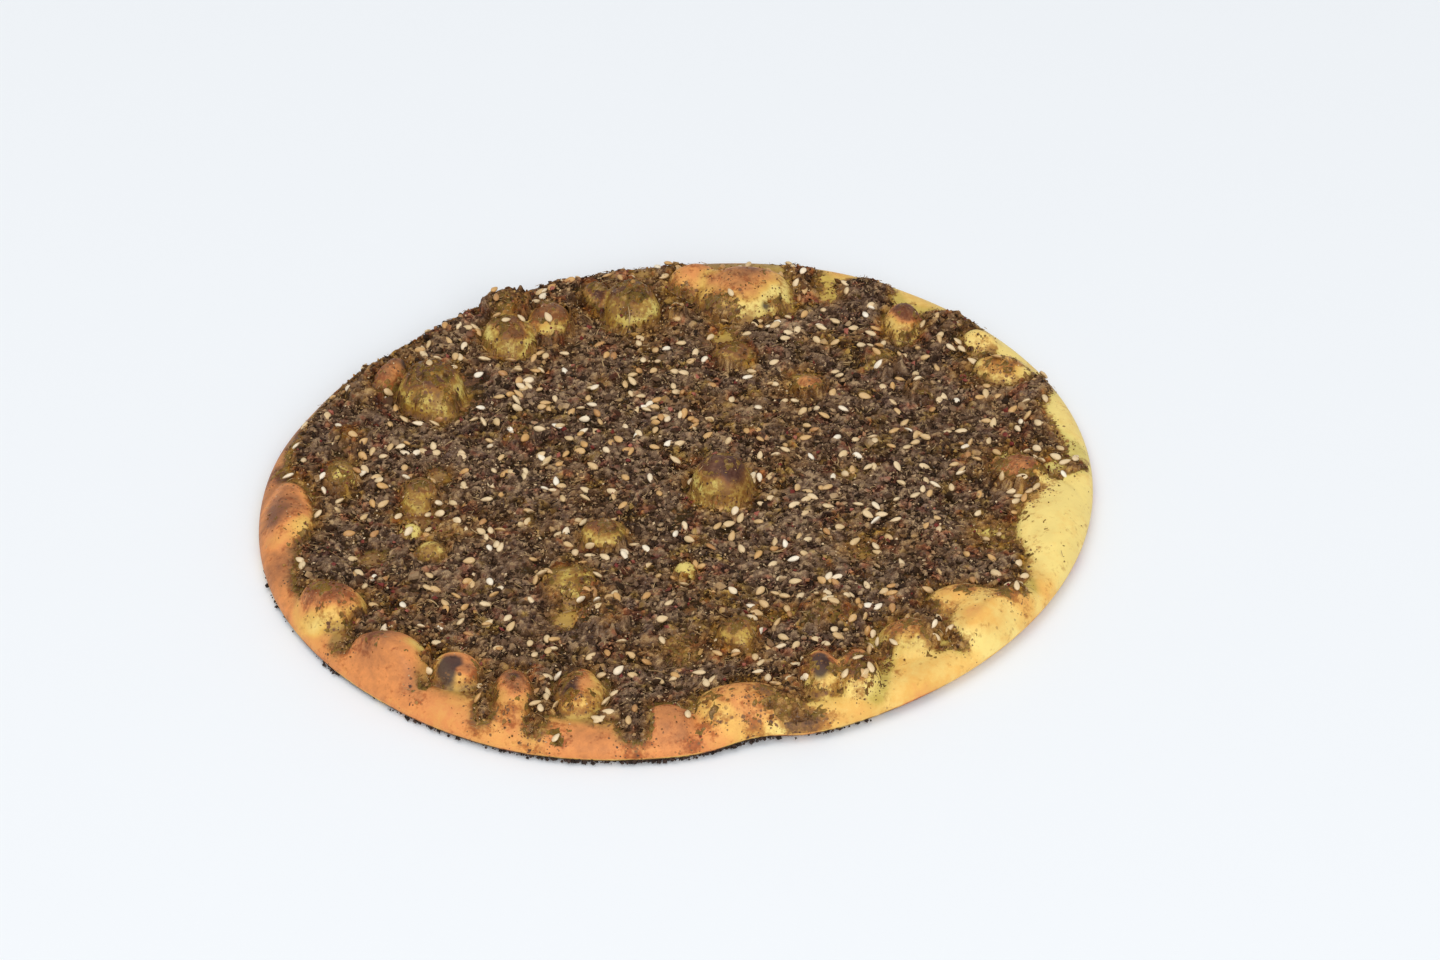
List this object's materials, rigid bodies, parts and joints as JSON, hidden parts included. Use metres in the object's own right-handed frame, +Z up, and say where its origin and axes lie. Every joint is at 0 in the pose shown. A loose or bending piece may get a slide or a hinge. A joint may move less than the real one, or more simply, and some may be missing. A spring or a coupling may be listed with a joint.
{
  "type": "zaatar manakish flatbread",
  "caption": "Thin round flatbread with a puffed bare rim, baked air bubbles and a rough coat of zaatar paste with sesame seeds, flat underneath so that it lies on a plate or board.",
  "frame": {"origin": "middle of the bread's footprint, on the surface that it lies on", "axes": "+Z up from the flat underside, +X along the bread's longest measure, -Y towards the edge with the bare browned bubbles"},
  "size_m": [0.2086, 0.1972, 0.0151],
  "materials": {
    "crust": "baked dough, yellow to orange-tan with browned and burnt spots, slightly oily",
    "zaatar": "coarse dark herb paste, oily, with pale sesame seeds"
  },
  "bodies": {
    "root": {"bread": "crust", "zaatar": "zaatar"}
  },
  "joints": []
}
